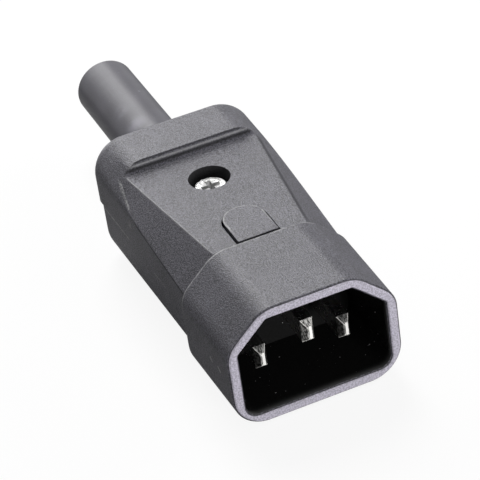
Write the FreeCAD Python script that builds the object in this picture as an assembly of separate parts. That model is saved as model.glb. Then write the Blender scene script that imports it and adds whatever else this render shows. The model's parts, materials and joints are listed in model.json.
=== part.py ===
"""Rewireable straight power plug with a shrouded three-pin mating face, a two-shell housing and a cable boot.

Millimetres. Y runs from the mating rim (front) to the end of the boot (rear), Z is up, X is across.
Everything is built with the rim at y = 0 and moved at the end, so that the origin is the middle of the
footprint on the surface that the plug lies on.
"""
import FreeCAD, Part
import math
import os

Vector = FreeCAD.Vector

# Mating opening: a rectangle with its two upper corners bevelled, so that it takes its connector one way up.
opening_width = 24.5
opening_height = 16.6
opening_depth = 15.5
key_flat_width = 14.2
key_drop = 4.7
key_corner_radius = 0.8
opening_corner_radius = 2.2
mouth_bevel = 0.35

# Shroud round the opening, drafted so that it widens towards its root.
shroud_wall = 1.85
shroud_draft = 0.25
shroud_length = 17.7
shroud_top_radius = 5.6
shroud_shoulder_radius = 5.0
shroud_bottom_radius = 5.6
rim_edge_bevel = 0.4
root_edge_length = 0.4
root_edge_drop = 0.1

# Contact pins.
pin_width = 2.0
pin_height = 4.0
pin_pitch = 14.0
pin_stagger = 4.0
line_tip_recess = 4.4
earth_tip_recess = 1.5
tip_length = 1.1
tip_flat_width = 0.75
tip_flat_height = 2.3
pin_fit = 0.03

# Terminals behind the pins.
terminal_width = 5.2
terminal_length = 5.4
terminal_height = 6.4
terminal_clearance = 0.2
terminal_backing = 0.3
tail_depth = 2.0
wire_hole_diameter = 2.4
terminal_screw_diameter = 2.6
terminal_screw_head = 3.8
terminal_screw_head_height = 1.6
terminal_screw_reach = 2.4
thread_clearance = 0.03

# Contact carrier, with the locating lug that stands in a notch of the upper shell.
carrier_web = 1.4
carrier_clearance = 0.15
carrier_margin = 0.1
lug_width = 6.8
lug_length = 9.0
lug_edge_length = 0.35
lug_edge_drop = 0.1
lug_front_gap = 0.5
lug_side_gap = 0.35
lug_rear_gap = 0.15
groove_from_shoulder = 10.0
groove_depth = 2.0
rib_thickness = 1.5
rib_clearance = 0.1

# Screw that closes the shells, in a well of the upper shell.
screw_well_diameter = 6.9
screw_head_diameter = 6.4
screw_head_height = 2.0
screw_head_depth = 1.6
screw_crown_bevel = 0.7
screw_diameter = 3.0
screw_hole_diameter = 3.4
screw_tip_height = 3.6
screw_boss_diameter = 8.6
boss_clearance = 0.8
hole_bottom_gap = 0.5
recess_width = 0.9
recess_span = 3.2
recess_depth = 1.2
recess_floor_width = 0.45
recess_floor_span = 1.1

# Cord clamp behind the screw.
clamp_gap = 1.1
clamp_length = 5.0
clamp_side_gap = 1.1
clamp_ear_height = 2.2
clamp_ear_margin = 0.3
clamp_saddle_wall = 1.7
clamp_head_gap = 0.1
clamp_seat_rise = 0.8
clamp_screw_diameter = 2.8
clamp_hole_diameter = 3.2
clamp_screw_head = 4.8
clamp_screw_head_height = 1.7
clamp_screw_reach = 5.8
clamp_boss_diameter = 5.4
slot_width = 0.8
slot_depth = 0.8

# Cable boot, trapped by its collar between the rear wall and a rib.
boot_diameter = 10.7
boot_bore = 7.6
boot_projection = 32.3
boot_end_bevel = 0.5
boot_clearance = 0.1
collar_diameter = 14.4
collar_thickness = 2.4
collar_rib_gap = 2.9
collar_rib_thickness = 1.5

# Two-shell housing behind the shroud, standing a little inside the shroud's root.
shoulder_step = 0.95
shell_wall = 1.8
rear_wall = 2.2
shell_gap = 0.1
housing_flare = 0.7
housing_top_radius = 6.0
housing_bottom_radius = 6.0
housing_rear_radius = 3.0
parting_rise = 1.1
upper_overhang = 0.3
lip_height = 1.0
lip_clearance = 0.1

# Sunk deck on the upper shell, its step at the rear and the slanted facets beside it.
deck_sink = 0.5
deck_front_width = 15.8
deck_rear_width = 23.3
deck_length = 28.9
facet_drop = 5.6
step_rise = 1.8
step_foot_radius = 1.2
step_edge_bevel = 0.3

# Heights worked out from the sizes.
opening_floor = shroud_wall + shroud_draft
shroud_top = opening_floor + opening_height + shroud_wall + shroud_draft
deck_height = shroud_top - deck_sink
housing_height = deck_height + step_rise
pin_middle = opening_floor + opening_height / 2
line_height = pin_middle - pin_stagger / 2
earth_height = pin_middle + pin_stagger / 2
parting_height = pin_middle + parting_rise
screw_seat = deck_height - screw_head_depth - screw_head_height
clamp_seat = parting_height + clamp_seat_rise
clamp_top = clamp_seat + clamp_ear_height

# Widths worked out from the sizes.
housing_half_width = opening_width / 2 + shroud_wall + shroud_draft - shoulder_step
clamp_span = 2 * (housing_half_width - shell_wall - clamp_side_gap)
clamp_screw_pitch = clamp_span - clamp_screw_head - 2 * clamp_ear_margin
saddle_diameter = clamp_screw_pitch - clamp_screw_head - 2 * clamp_head_gap
cord_diameter = saddle_diameter - 2 * clamp_saddle_wall

# Depths worked out one behind the other, from the shoulder where the shells begin to the end of the boot.
shoulder = shroud_length
lug_front = shoulder + lug_front_gap
lug_rear = lug_front + lug_length
line_terminal_front = shoulder + carrier_web
earth_terminal_front = lug_rear + terminal_backing
carrier_rear = earth_terminal_front + terminal_length + carrier_margin
screw_y = carrier_rear + boss_clearance + screw_boss_diameter / 2
clamp_front = screw_y + screw_boss_diameter / 2 + clamp_gap
clamp_rear = clamp_front + clamp_length
clamp_y = (clamp_front + clamp_rear) / 2
collar_rib_front = clamp_rear + collar_rib_gap
collar_front = collar_rib_front + collar_rib_thickness + boot_clearance
collar_rear = collar_front + collar_thickness
hollow_rear = collar_rear + boot_clearance
housing_rear = hollow_rear + rear_wall
overall_length = housing_rear + boot_projection
step_y = shoulder + deck_length

# Reach of cutting tools: past a face, and past everything.
overrun = 1.0
far = 2 * overall_length


def rounded_wire(corners, radii, place):
    """Closed wire through 2-D corners, each rounded by its own radius (0 leaves it sharp)."""
    count = len(corners)
    starts, mids, ends = [], [], []
    for i in range(count):
        corner = Vector(*corners[i], 0)
        before = (Vector(*corners[i - 1], 0) - corner).normalize()
        after = (Vector(*corners[(i + 1) % count], 0) - corner).normalize()
        half = before.getAngle(after) / 2
        run = radii[i] / math.tan(half)
        inward = (before + after).normalize()
        starts.append(corner + before * run)
        ends.append(corner + after * run)
        mids.append(corner + inward * (radii[i] / math.sin(half) - radii[i]))
    edges = []
    for i in range(count):
        start, mid, end = (place(p.x, p.y) for p in (starts[i], mids[i], ends[i]))
        following = starts[(i + 1) % count]
        if radii[i] > 0:
            edges.append(Part.Arc(start, mid, end).toShape())
        edges.append(Part.LineSegment(end, place(following.x, following.y)).toShape())
    return Part.Wire(edges)


def prism(wire, along):
    """Solid of a closed wire swept straight along a vector."""
    return Part.Face(wire).extrude(along)


def block(x, y, z):
    """Box between three pairs of limits."""
    size = (x[1] - x[0], y[1] - y[0], z[1] - z[0])
    return Part.makeBox(*size, Vector(x[0], y[0], z[0]))


def slab(y, z):
    """Everything between two depths and two heights."""
    return block((-far, far), y, z)


def post(diameter, x, y, low, high):
    """Upright cylinder."""
    return Part.makeCylinder(diameter / 2, high - low, Vector(x, y, low))


def rod(diameter, front, rear, height, x=0.0):
    """Cylinder along Y."""
    return Part.makeCylinder(diameter / 2, rear - front, Vector(x, front, height), Vector(0, 1, 0))


def both_sides(shape):
    """A shape and its mirror image across the middle plane."""
    return [shape, shape.mirror(Vector(), Vector(1, 0, 0))]


def flat_edges(shape, axis, level, tolerance=0.01):
    """Edges that lie wholly in the plane at one level of an axis, 1 for Y and 2 for Z."""
    found = []
    for edge in shape.Edges:
        box = edge.BoundBox
        low = (box.XMin, box.YMin, box.ZMin)[axis]
        high = (box.XMax, box.YMax, box.ZMax)[axis]
        if abs(low - level) < tolerance and abs(high - level) < tolerance:
            found.append(edge)
    return found


def edge_between(shape, start, end, tolerance=0.01):
    """The edge that runs from one point to another."""
    for edge in shape.Edges:
        first, last = edge.Vertexes[0].Point, edge.Vertexes[-1].Point
        forward = first.distanceToPoint(start) + last.distanceToPoint(end)
        backward = first.distanceToPoint(end) + last.distanceToPoint(start)
        if min(forward, backward) < tolerance:
            return edge


def tapered_bar(front_corners, rear_corners, front, rear, radii):
    """Bar along Y between two outlines with parallel sides, its long edges rounded by their own radii.

    The corners run anticlockwise as seen from the front.
    """
    front_points = [Vector(x, front, z) for x, z in front_corners]
    rear_points = [Vector(x, rear, z) for x, z in rear_corners]
    loops = [front_points, rear_points[::-1]]
    for i in range(len(front_points)):
        loops.append([front_points[i], front_points[i - 1], rear_points[i - 1], rear_points[i]])
    faces = [Part.Face(Part.makePolygon(loop + loop[:1])) for loop in loops]
    bar = Part.makeSolid(Part.makeShell(faces))
    for radius in sorted(set(radii)):
        chosen = [i for i in range(len(radii)) if radii[i] == radius]
        edges = [edge_between(bar, front_points[i], rear_points[i]) for i in chosen]
        bar = bar.makeFillet(radius, edges)
    return bar


def keyed_corners(grow):
    """Corners of the bevelled opening, grown outwards by an even wall."""
    half = opening_width / 2
    top = opening_floor + opening_height
    slope = math.atan2(key_drop, half - key_flat_width / 2)
    flat = key_flat_width / 2 + grow * math.tan(slope / 2)
    foot = top - key_drop + grow * math.tan((math.pi / 2 - slope) / 2)
    low = opening_floor - grow
    side = half + grow
    return [(side, low), (side, foot), (flat, top + grow), (-flat, top + grow), (-side, foot), (-side, low)]


def opening_wire(grow, y):
    """Outline of the opening at depth y, grown evenly."""
    radii = [opening_corner_radius] + [key_corner_radius] * 4 + [opening_corner_radius]
    return rounded_wire(keyed_corners(grow), radii, lambda x, z: Vector(x, y, z))


def shroud():
    """Keyed tube that widens a little towards its closed root, with bevelled edges and mouth."""
    right = [shroud_bottom_radius, shroud_shoulder_radius, shroud_top_radius]
    radii = right + right[::-1]
    rim = keyed_corners(shroud_wall)
    root = keyed_corners(shroud_wall + shroud_draft)
    tube = tapered_bar(rim, root, 0, shroud_length, radii)
    tube = tube.makeChamfer(rim_edge_bevel, flat_edges(tube, 1, 0))
    tube = tube.makeChamfer(root_edge_length, root_edge_drop, flat_edges(tube, 1, shroud_length))
    cavity = prism(opening_wire(0, 0), Vector(0, opening_depth, 0))
    mouth = Part.makeLoft([opening_wire(mouth_bevel, 0), opening_wire(0, mouth_bevel)], True, True)
    return tube.cut([cavity, mouth])


def housing_corners(half, floor, top):
    """Corners of the housing's section."""
    return [(-half, floor), (half, floor), (half, top), (-half, top)]


def housing_bar(front_half, rear_half, inset, floor, rear):
    """Housing with rounded long edges, drawn in at the top by an inset and standing on a floor height."""
    top = housing_height - inset
    radii = [housing_bottom_radius - inset] * 2 + [housing_top_radius - inset] * 2
    front_corners = housing_corners(front_half, floor, top)
    rear_corners = housing_corners(rear_half, floor, top)
    return tapered_bar(front_corners, rear_corners, shoulder, rear, radii)


def deck_cut(inset):
    """Room over the sunk deck, with a rounded foot and a bevelled upper edge at the step behind it."""
    level = deck_height - inset
    wall = step_y + inset
    bevel_foot = level + step_rise - step_edge_bevel
    corners = [
        (0, level), (wall, level), (wall, bevel_foot),
        (wall + step_rise, bevel_foot + step_rise), (0, bevel_foot + step_rise),
    ]
    radii = [0, step_foot_radius, 0, 0, 0]
    outline = rounded_wire(corners, radii, lambda y, z: Vector(-far, y, z))
    return prism(outline, Vector(2 * far, 0, 0))


def facet_cut(inset):
    """Room outside the slanted facet beside the deck, on the right-hand side."""
    front_edge = Vector(deck_front_width / 2, shoulder, deck_height)
    rear_edge = Vector(deck_rear_width / 2, step_y, deck_height)
    front_foot = Vector(housing_half_width, shoulder, deck_height - facet_drop)
    outward = (rear_edge - front_edge).cross(front_foot - front_edge).normalize()
    outward = outward * math.copysign(1, outward.z)
    tool = Part.makeBox(2 * far, 2 * far, far, Vector(-far, -far, 0))
    turn = FreeCAD.Rotation(Vector(0, 0, 1), outward)
    tool.Placement = FreeCAD.Placement(front_edge - outward * inset, turn).multiply(tool.Placement)
    return tool


def with_deck(bar, inset):
    """Housing form with its deck and facets cut."""
    return bar.cut([deck_cut(inset)] + both_sides(facet_cut(inset)))


def outer_form(inset):
    """Outside of the housing, rounded at the rear; the lower shell's is drawn in a little under the upper's."""
    front_half = housing_half_width - inset
    rear = housing_rear - inset
    bar = housing_bar(front_half, front_half + housing_flare, inset, 0, rear)
    bar = bar.makeFillet(housing_rear_radius, flat_edges(bar, 1, rear))
    return with_deck(bar, inset)


def inner_form(inset):
    """Straight form inside the housing, an even inset from its front section and closed at the rear wall."""
    half = housing_half_width - inset
    return with_deck(housing_bar(half, half, inset, inset, hollow_rear), inset)


def lug_outline(side_gap, front, rear):
    """D outline of the locating lug or of its notch: straight sides and a round rear end."""
    half = lug_width / 2 + side_gap
    turn = rear - half
    corners = [(half, turn), (half, front), (-half, front), (-half, turn)]
    points = [Vector(x, y, parting_height) for x, y in corners]
    edges = [Part.LineSegment(points[i], points[i + 1]).toShape() for i in range(3)]
    edges.append(Part.Arc(points[3], Vector(0, rear, parting_height), points[0]).toShape())
    return Part.Wire(edges)


def poles():
    """Name, across, height, tip and terminal front of each pole."""
    return [
        ("line", -pin_pitch / 2, line_height, line_tip_recess, line_terminal_front),
        ("neutral", pin_pitch / 2, line_height, line_tip_recess, line_terminal_front),
        ("earth", 0.0, earth_height, earth_tip_recess, earth_terminal_front),
    ]


def blade(x, height, front, rear, grow):
    """Flat bar of the pin's section along Y, or the slot that takes it."""
    half_x = pin_width / 2 + grow
    half_z = pin_height / 2 + grow
    return block((x - half_x, x + half_x), (front, rear), (height - half_z, height + half_z))


def pin(x, height, tip, terminal_front):
    """Flat contact blade with a tip bevelled on all four sides."""
    root = tip + tip_length
    nose = Part.makeWedge(
        x - tip_flat_width / 2, tip, height - tip_flat_height / 2,
        height - pin_height / 2, x - pin_width / 2,
        x + tip_flat_width / 2, root, height + tip_flat_height / 2,
        height + pin_height / 2, x + pin_width / 2,
    )
    return blade(x, height, root, terminal_front + tail_depth, 0).fuse(nose).removeSplitter()


def terminal_screw_y(front):
    """Depth of a terminal's screw: midway between the pin's tail and the rear of the terminal."""
    return front + (tail_depth + terminal_length) / 2


def terminal(x, height, front):
    """Brass block on the tail of a pin, with a wire hole from the rear and a tapped hole from above."""
    half = terminal_width / 2
    low, top = height - terminal_height / 2, height + terminal_height / 2
    rear = front + terminal_length
    body = block((x - half, x + half), (front, rear), (low, top))
    slot = blade(x, height, front - overrun, front + tail_depth, pin_fit)
    wire = rod(wire_hole_diameter, terminal_screw_y(front), rear + overrun, height, x)
    bore = terminal_screw_diameter + 2 * thread_clearance
    tapped = post(bore, x, terminal_screw_y(front), height, top + overrun)
    return body.cut([slot, wire, tapped])


def slotted_screw(diameter, head, head_height, reach, x, y, seat):
    """Cheese-head screw standing on its seat, with a straight slot."""
    top = seat + head_height
    screw = post(head, x, y, seat, top).fuse(post(diameter, x, y, seat - reach, seat))
    slot = block((x - head, x + head), (y - slot_width / 2, y + slot_width / 2), (top - slot_depth, top + overrun))
    return screw.cut(slot).removeSplitter()


def terminal_screw(x, height, front):
    """Screw that presses the wire in its terminal."""
    return slotted_screw(
        terminal_screw_diameter, terminal_screw_head, terminal_screw_head_height,
        terminal_screw_reach, x, terminal_screw_y(front), height + terminal_height / 2,
    )


def terminal_chamber(x, height, front):
    """Room for a terminal in the carrier, open above for its screw and behind for the wire."""
    half = terminal_width / 2 + terminal_clearance
    floor = height - terminal_height / 2 - terminal_clearance
    return block((x - half, x + half), (front, carrier_rear + overrun), (floor, housing_height))


def contact_carrier():
    """One moulding: the shroud, the block that holds the terminals and the locating lug."""
    inset = shell_wall + carrier_clearance
    housed = inner_form(inset).common(slab((shoulder, carrier_rear), (0, housing_height)))
    lug = prism(lug_outline(0, lug_front, lug_rear), Vector(0, 0, shroud_top - parting_height))
    lug = lug.makeChamfer(lug_edge_drop, lug_edge_length, flat_edges(lug, 2, shroud_top))
    cuts = []
    for _, x, height, _, front in poles():
        cuts.append(terminal_chamber(x, height, front))
        cuts.append(blade(x, height, opening_depth - overrun, front + overrun, pin_fit))
    groove_front = shoulder + groove_from_shoulder - rib_clearance
    groove_rear = groove_front + rib_thickness + 2 * rib_clearance
    cuts.append(slab((groove_front, groove_rear), (0, inset + groove_depth)))
    return shroud().fuse([housed, lug]).cut(cuts).removeSplitter()


def boot_room():
    """Space in the shells for the boot's tube and collar."""
    front = collar_front - boot_clearance
    tube = rod(boot_diameter + 2 * boot_clearance, front, housing_rear + overrun, parting_height)
    collar = rod(collar_diameter + 2 * boot_clearance, front, hollow_rear, parting_height)
    return tube.fuse(collar)


def cable_boot():
    """Soft sleeve with a collar that the shells trap."""
    tube = rod(boot_diameter, collar_front, overall_length, parting_height)
    tube = tube.makeChamfer(boot_end_bevel, flat_edges(tube, 1, overall_length))
    collar = rod(collar_diameter, collar_front, collar_rear, parting_height)
    bore = rod(boot_bore, collar_front - overrun, overall_length + overrun, parting_height)
    return tube.fuse(collar).cut(bore).removeSplitter()


def shell_half(inset, low, high):
    """Hollow housing between two heights, with half of the rib that traps the boot's collar."""
    hollow = inner_form(shell_wall)
    rib = hollow.common(slab((collar_rib_front, collar_rib_front + collar_rib_thickness), (0, housing_height)))
    rib = rib.cut(rod(boot_bore, 0, housing_rear, parting_height))
    limits = slab((shoulder + shell_gap, housing_rear), (low, high))
    return outer_form(inset).cut(hollow).fuse(rib).common(limits)


def lip(inset, height):
    """Strips that stand on the lower shell's side walls, or the rebates that take them."""
    strips = inner_form(inset).cut(inner_form(shell_wall))
    return strips.common(slab((shoulder + shell_gap, hollow_rear), (parting_height, parting_height + height)))


def upper_shell():
    """Upper shell: sunk deck, facets, notch for the lug and the screw's well."""
    boss = post(screw_boss_diameter, 0, screw_y, parting_height, deck_height - shell_wall / 2)
    notch = lug_outline(lug_side_gap, shoulder - overrun, lug_rear + lug_rear_gap)
    cuts = [
        prism(notch, Vector(0, 0, housing_height)),
        post(screw_well_diameter, 0, screw_y, screw_seat, housing_height),
        post(screw_hole_diameter, 0, screw_y, 0, housing_height),
        lip(shell_wall / 2, lip_height + lip_clearance),
        boot_room(),
    ]
    return shell_half(0, parting_height, housing_height).fuse(boss).cut(cuts).removeSplitter()


def retaining_rib():
    """Low rib on the floor that enters the groove under the carrier."""
    front = shoulder + groove_from_shoulder
    top = shell_wall + carrier_clearance + groove_depth - rib_clearance
    return inner_form(shell_wall / 2).common(slab((front, front + rib_thickness), (0, top)))


def clamp_screw_places():
    """Places of the two clamp screws across the housing."""
    return [-clamp_screw_pitch / 2, clamp_screw_pitch / 2]


def cord_cradle():
    """Trough that carries the cord, with a boss on each side for the clamp."""
    half = clamp_screw_pitch / 2
    trough = block((-half, half), (clamp_front, clamp_rear), (shell_wall / 2, parting_height))
    trough = trough.cut(rod(cord_diameter, 0, housing_rear, parting_height))
    bosses = [post(clamp_boss_diameter, x, clamp_y, shell_wall / 2, clamp_seat) for x in clamp_screw_places()]
    return trough.fuse(bosses)


def lower_shell():
    """Lower shell: lip, screw boss, cord cradle with its clamp bosses, and the rib that holds the carrier."""
    shell = shell_half(upper_overhang, 0, parting_height).fuse([
        lip(shell_wall / 2 + lip_clearance, lip_height),
        post(screw_boss_diameter, 0, screw_y, shell_wall / 2, parting_height),
        cord_cradle(),
        retaining_rib(),
    ])
    screw_bore = screw_diameter + 2 * thread_clearance
    clamp_bore = clamp_screw_diameter + 2 * thread_clearance
    clamp_bottom = clamp_seat - clamp_screw_reach - hole_bottom_gap
    cuts = [boot_room(), post(screw_bore, 0, screw_y, screw_tip_height - hole_bottom_gap, housing_height)]
    for x in clamp_screw_places():
        cuts.append(post(clamp_bore, x, clamp_y, clamp_bottom, housing_height))
    return shell.cut(cuts).removeSplitter()


def cord_clamp():
    """Saddle that holds the cord down on the cradle, with an ear on each side."""
    ears = block((-clamp_span / 2, clamp_span / 2), (clamp_front, clamp_rear), (clamp_seat, clamp_top))
    hump = rod(saddle_diameter, clamp_front, clamp_rear, parting_height)
    hump = hump.common(slab((clamp_front, clamp_rear), (clamp_seat, housing_height)))
    holes = [post(clamp_hole_diameter, x, clamp_y, 0, housing_height) for x in clamp_screw_places()]
    cord = rod(cord_diameter, 0, housing_rear, parting_height)
    return ears.fuse(hump).cut(holes + [cord]).removeSplitter()


def clamp_screw(x):
    """Screw that draws the clamp down on its boss."""
    return slotted_screw(
        clamp_screw_diameter, clamp_screw_head, clamp_screw_head_height,
        clamp_ear_height + clamp_screw_reach, x, clamp_y, clamp_top,
    )


def cross_recess(y, top):
    """Cross-shaped driver recess, tapering to its floor."""
    wings = []
    for angle in (0, 90):
        wing = Part.makeWedge(
            -recess_width / 2, 0, -recess_span / 2, -recess_floor_span / 2, -recess_floor_width / 2,
            recess_width / 2, recess_depth, recess_span / 2, recess_floor_span / 2, recess_floor_width / 2,
        )
        wing.rotate(Vector(), Vector(1, 0, 0), -90)
        wing.rotate(Vector(), Vector(0, 0, 1), angle)
        wing.translate(Vector(0, y, top))
        wings.append(wing)
    return wings


def housing_screw():
    """Pan-head screw that draws the upper shell down on the lower one."""
    top = screw_seat + screw_head_height
    head = post(screw_head_diameter, 0, screw_y, screw_seat, top)
    head = head.makeChamfer(screw_crown_bevel, flat_edges(head, 2, top))
    shank = post(screw_diameter, 0, screw_y, screw_tip_height, screw_seat)
    return head.fuse(shank).cut(cross_recess(screw_y, top)).removeSplitter()


def pieces():
    """Every piece of the plug by its name."""
    made = {
        "contact_carrier": contact_carrier(),
        "upper_shell": upper_shell(),
        "lower_shell": lower_shell(),
        "housing_screw": housing_screw(),
        "cord_clamp": cord_clamp(),
        "cable_boot": cable_boot(),
    }
    for pole, x, height, tip, front in poles():
        made[pole + "_pin"] = pin(x, height, tip, front)
        made[pole + "_terminal"] = terminal(x, height, front)
        made[pole + "_terminal_screw"] = terminal_screw(x, height, front)
    for side, x in zip(("left", "right"), clamp_screw_places()):
        made[side + "_clamp_screw"] = clamp_screw(x)
    return made


os.makedirs("parts", exist_ok=True)
for name, shape in pieces().items():
    shape.translate(Vector(0, -overall_length / 2, 0))
    print(name, len(shape.Solids), shape.isValid(), round(shape.Volume, 1))
    shape.exportStep("parts/" + name + ".step")
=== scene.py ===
"""Studio view of a rewireable power plug: finishes and wear on its moulded, soft and metal pieces."""
import json
import math
import bmesh
import bpy
from mathutils import Matrix, Quaternion, Vector


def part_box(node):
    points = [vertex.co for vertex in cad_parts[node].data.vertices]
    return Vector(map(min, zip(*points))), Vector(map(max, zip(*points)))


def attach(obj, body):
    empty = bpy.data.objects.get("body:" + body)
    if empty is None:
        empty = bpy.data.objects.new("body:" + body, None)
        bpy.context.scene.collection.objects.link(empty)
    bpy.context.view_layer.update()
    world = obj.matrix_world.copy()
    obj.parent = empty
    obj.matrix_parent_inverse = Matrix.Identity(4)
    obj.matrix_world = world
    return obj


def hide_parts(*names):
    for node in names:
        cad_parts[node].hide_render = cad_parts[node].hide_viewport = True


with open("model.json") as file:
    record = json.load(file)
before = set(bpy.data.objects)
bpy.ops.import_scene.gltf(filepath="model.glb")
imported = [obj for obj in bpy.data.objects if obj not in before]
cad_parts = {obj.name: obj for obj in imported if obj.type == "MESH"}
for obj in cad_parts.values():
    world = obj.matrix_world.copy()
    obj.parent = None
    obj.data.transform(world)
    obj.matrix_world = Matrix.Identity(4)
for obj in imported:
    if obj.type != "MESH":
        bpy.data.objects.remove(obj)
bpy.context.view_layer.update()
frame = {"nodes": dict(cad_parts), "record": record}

MM = 0.001

# View: place of the eye, the point it looks at, tilt of the frame, focal length and nearest distance.
EYE = Vector((-95.3, -301.5, 218.4)) * MM
AIM = Vector((1.5, -13.0, 11.0)) * MM
FRAME_TILT = math.radians(-8.7)
FOCAL_LENGTH = 171.5
NEAREST = 0.01

# Facets of a curved wall meet at less than this angle, and edges of the moulding at more.
SMOOTH_ANGLE = math.radians(28)
MERGE_DISTANCE = 0.001 * MM

# Mating opening: rim, axis, depths of the lead-in, of the mouth's painted light and of the end wall, and
# the part of a face's normal along the plug below which the face counts as turned to the front.
carrier_low, carrier_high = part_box("contact_carrier")
RIM = carrier_low.y
OPENING_AXIS = (carrier_low + carrier_high) / 2
LEAD_IN_DEPTH = 0.3 * MM
MOUTH_DEPTH = 2.5 * MM
OPENING_DEPTH = 15.5 * MM
FACING_FRONT = -0.9

# Housing, in millimetres: shoulder, top, the lug's top and rear, the sunk deck and the step behind it.
upper_low, upper_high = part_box("upper_shell")
SHOULDER = upper_low.y / MM
HOUSING_TOP = upper_high.z / MM
LUG_TOP = carrier_high.z / MM
LUG_REAR = SHOULDER + 9.5
DECK = LUG_TOP - 0.5
STEP = SHOULDER + 28.9

# Closing screw: axis, radius of its well, soft edge of the shade there, and reach of the cross recess.
screw_low, screw_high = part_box("housing_screw")
SCREW_AXIS = (screw_low + screw_high) / 2
WELL_RADIUS = 3.45 * MM
WELL_EDGE = 0.05 * MM
RECESS_REACH = 1.7 * MM

# Pins: tips, spacing, heights, half sizes of a blade, the bevelled tip with its small end face, and the
# outer and inner distances from the middle plane between which the earth pin is told from the others.
line_low, line_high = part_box("line_pin")
earth_low, earth_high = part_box("earth_pin")
LINE_TIP = line_low.y
EARTH_TIP = earth_low.y
PIN_SPACING = -(line_low.x + line_high.x) / 2
LINE_HEIGHT = (line_low.z + line_high.z) / 2
EARTH_HEIGHT = (earth_low.z + earth_high.z) / 2
HALF_WIDTH = (line_high.x - line_low.x) / 2
HALF_HEIGHT = (line_high.z - line_low.z) / 2
TIP_LENGTH = 1.1 * MM
END_HALF_WIDTH = 0.375 * MM
END_HALF_HEIGHT = 1.15 * MM
EARTH_RANGE = (4.0 * MM, 3.0 * MM)

# Marks on the left side, as their two ends in millimetres, and the shifts along the plug that spread
# the strands of a bundle of scratches.
LOWER_SCRATCH = ((-13.4, -12.0, 9.9), (-13.3, -17.2, 9.8))
# The joint's mark is a painted highlight along the edge between the shells.
JOINT_HIGHLIGHT = ((-13.75, 9.8, 10.5), (-13.5, -3.0, 10.4))
FRONT_NICK = ((-14.2, -40.2, 10.0), (-14.2, -41.2, 9.2))
REAR_NICK = ((-14.2, -37.3, 10.0), (-14.2, -38.1, 9.2))
STRAND_SHIFTS = (-0.5, -0.2, 0.15, 0.6)

# Marks on the boot, as a centre and a radius in millimetres: patches with painted highlights, and dust.
BOOT_RUB_HIGHLIGHT = ((-2.5, 21.9, 16.4), 2.8)
FAINT_BOOT_RUB_HIGHLIGHT = ((-3.3, 27.6, 16.0), 2.6)
BOOT_FLECK = ((2.24, 31.77, 16.36), 0.35)

# A straight mark fades where the shares of its length before and behind a point multiply to less.
END_FADE = 0.1

# Floor: half its width, how far it lies below the plug, and the share of the shadow that is kept.
FLOOR_REACH = 2.0
FLOOR_DROP = 0.02 * MM
SHADOW_SHARE = 0.1

# Outer and inner distances in metres over which the floor changes: its shadow fades, its reflection
# turns from white to grey, and beside the plug that grey turns paler.
SHADOW_RANGE = (0.25, 0.1)
GREY_RANGE = (0.2, 0.1)
BESIDE_RANGE = (0.025, 0.017)

# Light: the point that the lamps face, and the strength of the even light from all sides.
LIT_POINT = Vector((0.0, -10.0, 12.0)) * MM
AMBIENT = 0.12

# Sockets of a Mix node that take and give colours.
COLOUR_A = 6
COLOUR_B = 7
COLOUR_RESULT = 2


def grey(level, tint=(1.0, 1.0, 1.0)):
    """Opaque colour of one level, slightly tinted."""
    return tuple(level * part for part in tint) + (1.0,)


# Tints.
COOL = (1.0, 0.975, 1.16)
LILAC = (1.02, 0.97, 1.13)
WARM = (1.0, 0.99, 0.96)

# Tones of the finishes; a pair goes from dark to pale.
HOUSING_TONES = (grey(0.03, COOL), grey(0.14, COOL))
# Painted shade on the housing's edges and hollows, and on the rim's edge.
SHADE_TONE = grey(0.01)
RIM_TONE = grey(0.55, LILAC)
# Pale wear, and painted highlights on the housing's edges.
WORN_AND_HIGHLIGHT_TONE = grey(0.5)
# Painted shade inside the mating opening, and painted light at its mouth.
OPENING_SHADE_TONES = (grey(0.007), grey(0.013))
MOUTH_LIGHT_TONE = grey(0.2)
DUST_TONE = grey(0.5)
BOOT_TONES = (grey(0.07, COOL), grey(0.095, COOL))
# Painted highlights on the boot, and its dust.
BOOT_HIGHLIGHT_AND_DUST_TONE = grey(0.3, COOL)
NICKEL_TONES = (grey(0.5, WARM), grey(0.68, WARM))
# Painted shade on the pins' bevels, and painted highlights on their tips.
BEVEL_TONES = (grey(0.06, WARM), grey(0.9, WARM))
NICKEL_HIGHLIGHT_TONE = grey(0.95, WARM)
ZINC_TONES = (grey(0.2, WARM), grey(0.6))
RECESS_TONE = grey(0.4)
BRASS_TONES = ((0.62, 0.44, 0.17, 1.0), (0.78, 0.6, 0.28, 1.0))
CLAMP_TONES = (grey(0.09), grey(0.13))
PAPER_TONE = grey(0.95)
BOUNCE_TONE = grey(0.3)
MIRRORED_TONES = (grey(0.2), grey(0.42))


class Value:
    """A number that changes over a surface: arithmetic on it adds Math nodes to its tree."""

    def __init__(self, nodes, socket):
        self.nodes = nodes
        self.socket = socket

    def math(self, operation, *others):
        """Math node on this value and others."""
        terms = dict(enumerate((self, *others)))
        return self.nodes.node("ShaderNodeMath", {"operation": operation}, terms)

    def __add__(self, other):
        return self.math("ADD", other)

    def __sub__(self, other):
        return self.math("SUBTRACT", other)

    def __rsub__(self, other):
        return self * -1.0 + other

    def __mul__(self, other):
        return self.math("MULTIPLY", other)

    def __truediv__(self, other):
        return self.math("DIVIDE", other)

    def __rtruediv__(self, other):
        return self.math("POWER", -1.0) * other

    __radd__ = __add__
    __rmul__ = __mul__

    def rise(self, low, high):
        """0 up to low and 1 from high, smooth between; low may be the greater."""
        limits = {"Value": self, "From Min": low, "From Max": high}
        return self.nodes.node("ShaderNodeMapRange", {"interpolation_type": "SMOOTHSTEP"}, limits)

    def within(self, outer, inner):
        """For the square of a distance: 0 from the outer distance, and 1 up to the inner one."""
        return self.rise(outer ** 2, inner ** 2)

    def most(self, *others):
        """The greatest of this value and others."""
        greatest = self
        for other in others:
            greatest = greatest.math("MAXIMUM", other)
        return greatest


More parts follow.
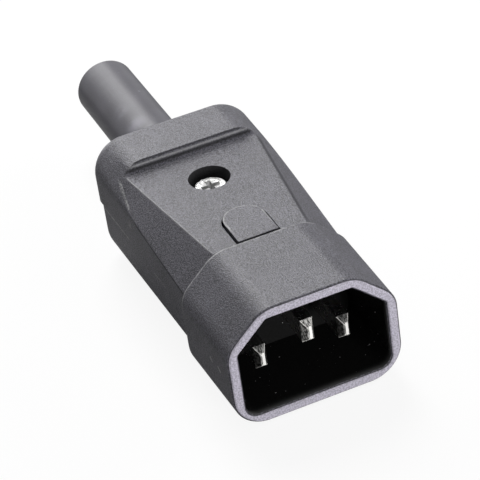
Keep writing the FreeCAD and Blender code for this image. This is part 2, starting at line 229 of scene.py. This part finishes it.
class Nodes:
    """A tree of shader nodes under construction."""

    def __init__(self, tree):
        self.tree = tree

    def node(self, kind, settings, inputs, output=0):
        """Adds a node with its settings, then its values and links, and gives one of its outputs."""
        node = self.tree.nodes.new(kind)
        for key, setting in settings.items():
            setattr(node, key, setting)
        for key, value in inputs.items():
            self.feed(node.inputs[key], value)
        return Value(self, node.outputs[output])

    def feed(self, socket, value):
        """Links a changing value to a socket, or sets a constant on it."""
        if isinstance(value, Value):
            self.tree.links.new(value.socket, socket)
        else:
            socket.default_value = value

    def ray(self, kind):
        """1 for rays of one kind, and 0 for others."""
        return self.node("ShaderNodeLightPath", {}, {}, kind)


class Finish(Nodes):
    """A material under construction: its nodes, the place on the piece, and the shader that they feed."""

    def __init__(self, name):
        self.material = bpy.data.materials.new(name)
        self.material.use_nodes = True
        super().__init__(self.material.node_tree)
        self.shader = self.tree.nodes["Principled BSDF"]
        self.place = self.node("ShaderNodeTexCoord", {}, {}, "Object")
        self.x, self.y, self.z = (self.along(axis) for axis in "XYZ")

    def along(self, axis):
        """One coordinate of the place on the piece."""
        return self.node("ShaderNodeSeparateXYZ", {}, {0: self.place}, axis)

    def vector(self, operation, inputs, output="Vector"):
        """Vector Math node on places and directions."""
        return self.node("ShaderNodeVectorMath", {"operation": operation}, inputs, output)

    def around(self, y):
        """Square of the distance from an upright line in the plug's middle plane."""
        beyond = self.y - y
        return self.x * self.x + beyond * beyond

    def noise(self, waves, detail, stretch=(1.0, 1.0, 1.0)):
        """Cloudy pattern about 0.5, with so many waves a metre, drawn out along some axes."""
        place = self.vector("MULTIPLY", {0: self.place, 1: stretch})
        return self.node("ShaderNodeTexNoise", {}, {"Vector": place, "Scale": waves, "Detail": detail})

    def blend(self, mask, below, above):
        """Colour that goes from one to another as the mask goes from 0 to 1."""
        inputs = {"Factor": mask, COLOUR_A: below, COLOUR_B: above}
        return self.node("ShaderNodeMix", {"data_type": "RGBA"}, inputs, COLOUR_RESULT)

    def streak(self, start, end, width):
        """Mask of a mark along a straight line in millimetres, fading to its sides and ends."""
        start = Vector(start) * MM
        line = Vector(end) * MM - start
        offset = self.vector("SUBTRACT", {0: self.place, 1: start})
        run = self.vector("DOT_PRODUCT", {0: offset, 1: line}, "Value") / line.length_squared
        foot = self.vector("SCALE", {0: line, "Scale": run})
        aside = self.vector("DISTANCE", {0: offset, 1: foot}, "Value")
        return aside.rise(width * MM, 0.0) * (run * (1 - run)).rise(0.0, END_FADE)

    def cross_streak(self, half_length, y, z, width):
        """Mask of a mark from side to side of the plug, in millimetres."""
        return self.streak((-half_length, y, z), (half_length, y, z), width)

    def band(self, value, low, high, soft):
        """Mask of a coordinate's stretch between two places in millimetres, fading over a soft edge."""
        return value.rise((low - soft) * MM, low * MM) * value.rise((high + soft) * MM, high * MM)

    def spot(self, centre, radius):
        """Mask of a round mark in millimetres, fading to its edge."""
        away = self.vector("DISTANCE", {0: self.place, 1: Vector(centre) * MM}, "Value")
        return away.rise(radius * MM, 0.0)

    def relief(self, height, depth):
        """Surface normal of a relief of that depth in millimetres."""
        return self.node("ShaderNodeBump", {}, {"Strength": 1.0, "Distance": depth * MM, "Height": height})

    def surface(self, **inputs):
        """Feeds the shader's sockets, named with underscores for spaces, and gives the material."""
        for key, value in inputs.items():
            self.feed(self.shader.inputs[key.replace("_", " ")], value)
        return self.material

    def matt(self, colour):
        """Matt shader of one colour."""
        return self.node("ShaderNodeBsdfDiffuse", {}, {"Color": colour})

    def choose(self, mask, below, above):
        """Shader that goes from one to another as the mask goes from 0 to 1."""
        return self.node("ShaderNodeMixShader", {}, {0: mask, 1: below, 2: above})


def scratches(finish):
    """Mask of broken scratches: one on the lower shell, and a bundle from the step down the left side."""
    broken = finish.noise(waves=2400.0, detail=2.0).rise(0.4, 0.6)
    marks = finish.streak(*LOWER_SCRATCH, width=0.3) * 0.4
    for shift in STRAND_SHIFTS:
        over = finish.streak((-12.4, STEP + 0.2 + shift, 19.6), (-13.5, -4.2 + 2 * shift, 17.6), 0.16)
        down = finish.streak((-13.5, -3.6 + shift, 17.6), (-13.8, -4.8 + shift, 14.3), 0.2)
        marks = marks.most(over, down * 0.8)
    return marks * (0.25 + 0.75 * broken)


def housing_wear_and_highlights(finish):
    """Mask of pale scratches and nicks, and of painted highlights on edges of the deck, step, lug,
    shoulder and joint.
    """
    patchy = finish.noise(waves=900.0, detail=2.0).rise(0.35, 0.65)
    # Painted highlights on edges: the left crest, the step's wall, the shoulder, the lug's rear arc and
    # the joint.
    left_crest_highlight = finish.streak((-7.9, SHOULDER - 0.4, DECK), (-11.7, STEP + 0.3, DECK), 0.25) * 0.35
    step_wall_highlight = finish.cross_streak(11.6, STEP - 0.1, DECK + 1.15, 0.35) * 0.4
    shoulder = finish.band(finish.y, SHOULDER - 0.5, SHOULDER - 0.1, 0.05) * (0.05 + 0.35 * patchy)
    lug_rim_highlight = finish.band(finish.z, LUG_TOP - 0.12, LUG_TOP - 0.02, 0.01)
    lug_rim_highlight = lug_rim_highlight * finish.band(finish.y, LUG_REAR - 4.8, LUG_REAR, 3.0) * (0.2 + 0.4 * patchy)
    joint = finish.streak(*JOINT_HIGHLIGHT, width=0.25) * (0.25 + 0.6 * patchy)
    rear_nick = finish.streak(*REAR_NICK, width=0.25)
    front_nick = finish.streak(*FRONT_NICK, width=0.3)
    return scratches(finish).most(left_crest_highlight, step_wall_highlight, shoulder, lug_rim_highlight, joint, rear_nick, front_nick)


def housing_shade(finish):
    """Mask of painted shade at edges and hollows: the step, the lug, the facets and the screw's well."""
    step_edge = finish.cross_streak(12.0, STEP + 0.05, HOUSING_TOP - 0.15, 0.3) * 0.8
    step_foot = finish.cross_streak(13.0, STEP - 0.2, DECK + 0.55, 0.6)
    lug_foot = finish.cross_streak(3.9, SHOULDER + 0.05, LUG_TOP - 0.3, 0.5)
    facet_foot = finish.streak((-13.4, SHOULDER - 0.6, 14.35), (-13.65, -6.5, 16.9), 0.5) * 0.6
    crest_height = DECK - 0.3
    right_crest = finish.streak((8.2, SHOULDER - 0.6, crest_height), (12.0, STEP + 0.3, crest_height), 0.8)
    well = finish.around(SCREW_AXIS.y).within(WELL_RADIUS + WELL_EDGE, WELL_RADIUS)
    return step_edge.most(step_foot, lug_foot, facet_foot, right_crest * 0.7, well)


def moulded_plastic():
    """Dark grey moulded plastic with a fine spark-eroded grain, pale wear and a paler, stippled rim."""
    finish = Finish("moulded_plastic")
    grain = finish.noise(waves=4600.0, detail=1.0)
    cloud = finish.noise(waves=140.0, detail=3.0)
    speckle = finish.noise(waves=5200.0, detail=1.0).rise(0.6, 0.72)
    stipple = finish.noise(waves=3400.0, detail=1.0).rise(0.38, 0.62)
    shade = housing_shade(finish)
    behind_rim = finish.y - RIM
    rim = behind_rim.rise(0.2 * MM, 0.12 * MM)
    # Painted shade along the bevel of the rim's outer edge.
    rim_edge_shade = finish.band(behind_rim, 0.18, 0.26, 0.06) * 0.6
    tone = (grain * 0.85 + cloud * 0.15).rise(0.34, 0.66)
    colour = finish.blend(tone, *HOUSING_TONES)
    # Painted shade on the rim's edge and on the housing's edges and hollows.
    colour = finish.blend(rim_edge_shade.most(shade) * 0.9, colour, SHADE_TONE)
    colour = finish.blend(rim * (0.6 + 0.4 * stipple), colour, RIM_TONE)
    # Pale scratches and nicks, and painted highlights on edges.
    colour = finish.blend(housing_wear_and_highlights(finish), colour, WORN_AND_HIGHLIGHT_TONE)
    return finish.surface(
        Base_Color=colour,
        Roughness=0.3 + 0.12 * grain + 0.55 * shade,
        Specular_IOR_Level=0.26,
        Normal=finish.relief(grain + 0.4 * speckle, 0.065),
    )


def shaded_plastic():
    """The same moulding in the opening: smooth, painted shade, painted light at the mouth, a little dust.
    """
    finish = Finish("shaded_plastic")
    grain = finish.noise(waves=2500.0, detail=2.0)
    dust = finish.noise(waves=1900.0, detail=1.0).rise(0.75, 0.8)
    mouth = finish.y.rise(RIM + MOUTH_DEPTH, RIM)
    # Painted shade over all the inner walls, with painted light near the mouth; the pale flecks are dust.
    colour = finish.blend(grain, *OPENING_SHADE_TONES)
    colour = finish.blend(mouth * mouth * mouth, colour, MOUTH_LIGHT_TONE)
    colour = finish.blend(dust, colour, DUST_TONE)
    return finish.surface(
        Base_Color=colour,
        Roughness=0.14 + 0.1 * grain,
        Specular_IOR_Level=0.05,
        Normal=finish.relief(grain, 0.01),
    )


def soft_boot():
    """Dark grey flexible plastic, smoother than the housing, with two painted highlights and a little
    dust.
    """
    finish = Finish("soft_boot")
    grain = finish.noise(waves=4200.0, detail=2.0)
    cloud = finish.noise(waves=220.0, detail=3.0)
    dust = finish.noise(waves=2600.0, detail=1.0).rise(0.74, 0.8)
    dust = dust.most(finish.spot(*BOOT_FLECK) * 2.0)
    # Two patches, a little shinier, and lightened as painted highlights.
    rubbed_highlight = finish.spot(*BOOT_RUB_HIGHLIGHT).most(finish.spot(*FAINT_BOOT_RUB_HIGHLIGHT) * 0.5)
    rubbed_highlight = rubbed_highlight * cloud.rise(0.3, 0.55)
    tone = (grain * 0.4 + cloud * 0.6).rise(0.3, 0.7)
    colour = finish.blend(tone, *BOOT_TONES)
    colour = finish.blend(rubbed_highlight * 0.5 + dust * 0.25, colour, BOOT_HIGHLIGHT_AND_DUST_TONE)
    return finish.surface(
        Base_Color=colour,
        Roughness=0.34 + 0.06 * grain - 0.06 * rubbed_highlight,
        Specular_IOR_Level=0.3,
        Normal=finish.relief(grain, 0.012),
    )


def nickel_plate():
    """Nickel-plated blade, drawn along its length; its tip has scored bevels with painted light and shade.
    """
    finish = Finish("nickel_plate")
    drawn = finish.noise(waves=2400.0, detail=2.0, stretch=(1.0, 0.03, 1.0))
    scored = finish.noise(waves=5200.0, detail=2.0, stretch=(1.0, 0.3, 0.4)).rise(0.4, 0.62)
    cloud = finish.noise(waves=500.0, detail=2.0)
    earth = (finish.x * finish.x).within(*EARTH_RANGE)
    behind_tip = finish.y - LINE_TIP - (EARTH_TIP - LINE_TIP) * earth
    tip = behind_tip.rise(TIP_LENGTH + 0.1 * MM, TIP_LENGTH - 0.05 * MM)
    end_face = behind_tip.rise(0.1 * MM, 0.02 * MM)

    # Shares of the way from the end face out to the blade's sides, and out to its top and bottom.
    sideways = finish.x - (finish.x / PIN_SPACING).math("ROUND") * PIN_SPACING
    upwards = finish.z - LINE_HEIGHT - (EARTH_HEIGHT - LINE_HEIGHT) * earth
    side_share = (sideways.math("ABSOLUTE") - END_HALF_WIDTH) / (HALF_WIDTH - END_HALF_WIDTH)
    top_share = (upwards.math("ABSOLUTE") - END_HALF_HEIGHT) / (HALF_HEIGHT - END_HALF_HEIGHT)
    corner_highlight = (side_share - top_share).math("ABSOLUTE").rise(0.18, 0.05)
    top_bevel = (top_share - side_share).rise(0.0, 0.1)

    # The bevels' dark tones are painted shade; they are paler on the top bevels and on the earth pin.
    bevel = finish.blend(scored * (0.35 + 0.15 * top_bevel + 0.25 * earth), *BEVEL_TONES)
    # Painted highlights on the bevels' corners and on one half of the end face.
    bevel = finish.blend(corner_highlight * 0.8, bevel, NICKEL_HIGHLIGHT_TONE)
    end_face_highlight = end_face * sideways.rise(-0.12 * MM, -0.02 * MM)
    colour = finish.blend(drawn.rise(0.3, 0.7), *NICKEL_TONES)
    colour = finish.blend(tip, colour, bevel)
    colour = finish.blend(end_face_highlight, colour, NICKEL_HIGHLIGHT_TONE)
    dull_bevel = (0.2 * earth + 0.3 * corner_highlight) * (1 - end_face)
    return finish.surface(
        Base_Color=colour,
        Metallic=1.0,
        Roughness=0.22 + 0.12 * cloud + tip * (0.16 + 0.16 * end_face + dull_bevel),
        Normal=finish.relief(drawn, 0.008),
    )


def zinc_plate():
    """Bright zinc-plated steel, unevenly lustrous, and duller in the closing screw's recess."""
    finish = Finish("zinc_plate")
    cloud = finish.noise(waves=1500.0, detail=3.0)
    ripple = finish.noise(waves=3800.0, detail=2.0)
    recess = finish.around(SCREW_AXIS.y) / RECESS_REACH ** 2 + 0.8 * (cloud - 0.5)
    recess = recess.rise(0.9, 0.3)
    colour = finish.blend(cloud.rise(0.35, 0.65), *ZINC_TONES)
    colour = finish.blend(recess * 0.6, colour, RECESS_TONE)
    return finish.surface(
        Base_Color=colour,
        Metallic=1.0 - 0.6 * recess,
        Roughness=0.2 + 0.25 * cloud + 0.3 * recess,
        Normal=finish.relief(ripple, 0.12),
    )


def turned_brass():
    """Plain brass, slightly dulled."""
    finish = Finish("turned_brass")
    cloud = finish.noise(waves=700.0, detail=3.0)
    return finish.surface(
        Base_Color=finish.blend(cloud.rise(0.3, 0.7), *BRASS_TONES),
        Metallic=1.0,
        Roughness=0.26 + 0.2 * cloud,
        Normal=finish.relief(cloud, 0.01),
    )


def plain_moulding():
    """Unseen inner moulding: the housing's plastic without its wear."""
    finish = Finish("plain_moulding")
    grain = finish.noise(waves=3000.0, detail=2.0)
    return finish.surface(
        Base_Color=finish.blend(grain, *CLAMP_TONES),
        Roughness=0.5 + 0.1 * grain,
        Normal=finish.relief(grain, 0.02),
    )


def white_paper():
    """Paper that glows white for the lens, but for a faint shadow, and in reflections away from the plug.

    Near the plug, reflections show a lit grey that is paler close beside it. The light that the paper
    throws back on the plug is that of a plain grey.
    """
    finish = Finish("white_paper")
    glossy = finish.ray("Is Glossy Ray")
    around = finish.around(0.0)
    beside = (finish.x * finish.x).within(*BESIDE_RANGE)
    mirrored = finish.choose(beside, *(finish.matt(tone) for tone in MIRRORED_TONES))
    lit = finish.choose(glossy, finish.matt(BOUNCE_TONE), mirrored)
    glow = finish.node("ShaderNodeEmission", {}, {"Strength": 1.0})
    shadow = around.within(*SHADOW_RANGE) * SHADOW_SHARE
    shown = finish.choose(shadow, glow, finish.matt(PAPER_TONE))
    far_glossy = glossy * (1 - around.within(*GREY_RANGE))
    seen = finish.ray("Is Camera Ray").most(finish.ray("Is Transmission Ray"), far_glossy)
    output = finish.tree.nodes["Material Output"]
    finish.feed(output.inputs["Surface"], finish.choose(seen, lit, shown))
    return finish.material


def finished_piece(node, material):
    """Copy of a solid with merged corners and smooth curved walls, in its finish, in the solid's place."""
    mesh = frame["nodes"][node].data.copy()
    mesh.name = node + "_surface"
    body = bmesh.new()
    body.from_mesh(mesh)
    bmesh.ops.remove_doubles(body, verts=body.verts, dist=MERGE_DISTANCE)
    for edge in body.edges:
        edge.smooth = edge.calc_face_angle(0.0) < SMOOTH_ANGLE
    for face in body.faces:
        face.smooth = True
    body.to_mesh(mesh)
    body.free()
    mesh.materials.clear()
    mesh.materials.append(material)
    piece = bpy.data.objects.new(node + "_piece", mesh)
    bpy.context.scene.collection.objects.link(piece)
    evened = piece.modifiers.new("evened_shading", "WEIGHTED_NORMAL")
    evened.keep_sharp = True
    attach(piece, "root")
    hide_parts(node)
    return piece


def faces_opening(face):
    """Whether a face of the carrier looks into the mating opening."""
    centre = face.calc_center_median()
    inside = RIM + LEAD_IN_DEPTH < centre.y < RIM + OPENING_DEPTH
    inwards = face.normal.dot(Vector((OPENING_AXIS.x, centre.y, OPENING_AXIS.z)) - centre) > 0
    end_wall = face.normal.y < FACING_FRONT and abs(centre.y - RIM - OPENING_DEPTH) < MERGE_DISTANCE
    return (inside and inwards) or end_wall


def shade_opening(piece, material):
    """Gives the inner walls of the mating opening their own material, in painted shade."""
    piece.data.materials.append(material)
    body = bmesh.new()
    body.from_mesh(piece.data)
    for face in body.faces:
        if faces_opening(face):
            face.material_index = 1
    body.to_mesh(piece.data)
    body.free()


def finish_pieces():
    """Gives every solid its finished copy, by the slot that the record names for it."""
    finishes = {
        "housing_plastic": moulded_plastic(),
        "boot_rubber": soft_boot(),
        "pin_nickel": nickel_plate(),
        "screw_steel": zinc_plate(),
        "terminal_brass": turned_brass(),
        "clamp_plastic": plain_moulding(),
    }
    pieces = {}
    for part in frame["record"]["subparts"]:
        slot = part["material_slot"]
        pieces[part["node"]] = finished_piece(part["node"], finishes[slot])
    shade_opening(pieces["contact_carrier"], shaded_plastic())


def floor():
    """Sheet of white paper just below the plug."""
    body = bmesh.new()
    below = Matrix.Translation((0.0, 0.0, -FLOOR_DROP))
    bmesh.ops.create_grid(body, x_segments=1, y_segments=1, size=FLOOR_REACH, matrix=below)
    mesh = bpy.data.meshes.new("paper")
    body.to_mesh(mesh)
    body.free()
    mesh.materials.append(white_paper())
    paper = bpy.data.objects.new("paper", mesh)
    bpy.context.scene.collection.objects.link(paper)


def surroundings():
    """Even grey light from all sides, seen as white by the lens, in metal and through glass."""
    world = bpy.data.worlds.new("studio")
    world.use_nodes = True
    bpy.context.scene.world = world
    studio = Nodes(world.node_tree)
    background = world.node_tree.nodes["Background"]
    seen = studio.ray("Is Camera Ray").most(studio.ray("Is Glossy Ray"), studio.ray("Is Transmission Ray"))
    studio.feed(background.inputs["Color"], grey(1.0))
    studio.feed(background.inputs["Strength"], AMBIENT + (1.0 - AMBIENT) * seen)


def softbox(name, place, size, power):
    """Rectangular lamp that faces the plug."""
    lamp = bpy.data.lights.new(name, "AREA")
    lamp.shape = "RECTANGLE"
    lamp.size, lamp.size_y = size
    lamp.energy = power
    holder = bpy.data.objects.new(name, lamp)
    holder.location = place
    holder.rotation_euler = (LIT_POINT - Vector(place)).to_track_quat("-Z", "Y").to_euler()
    holder.visible_camera = False
    bpy.context.scene.collection.objects.link(holder)


def lights():
    """Three lamps behind the plug at falling heights, a weak one at the right and a low one in front."""
    softbox("rear_lamp", place=(0.08, 0.295, 0.46), size=(0.22, 0.2), power=1.8)
    softbox("middle_lamp", place=(0.01, 0.41, 0.365), size=(0.35, 0.2), power=1.05)
    softbox("low_lamp", place=(-0.04, 0.51, 0.18), size=(0.35, 0.25), power=0.7)
    softbox("side_lamp", place=(0.5, -0.01, 0.24), size=(0.2, 0.2), power=0.68)
    softbox("front_lamp", place=(0.095, -0.55, 0.06), size=(0.2, 0.2), power=2.75)


def camera():
    """Camera at the photograph's angle."""
    lens = bpy.data.cameras.new("lens")
    lens.lens = FOCAL_LENGTH
    lens.clip_start = NEAREST
    holder = bpy.data.objects.new("lens", lens)
    holder.location = EYE
    turn = (AIM - EYE).to_track_quat("-Z", "Y") @ Quaternion((0.0, 0.0, 1.0), FRAME_TILT)
    holder.rotation_euler = turn.to_euler()
    bpy.context.scene.collection.objects.link(holder)
    bpy.context.scene.camera = holder


finish_pieces()
floor()
surroundings()
lights()
camera()
bpy.context.scene.view_settings.view_transform = "Standard"
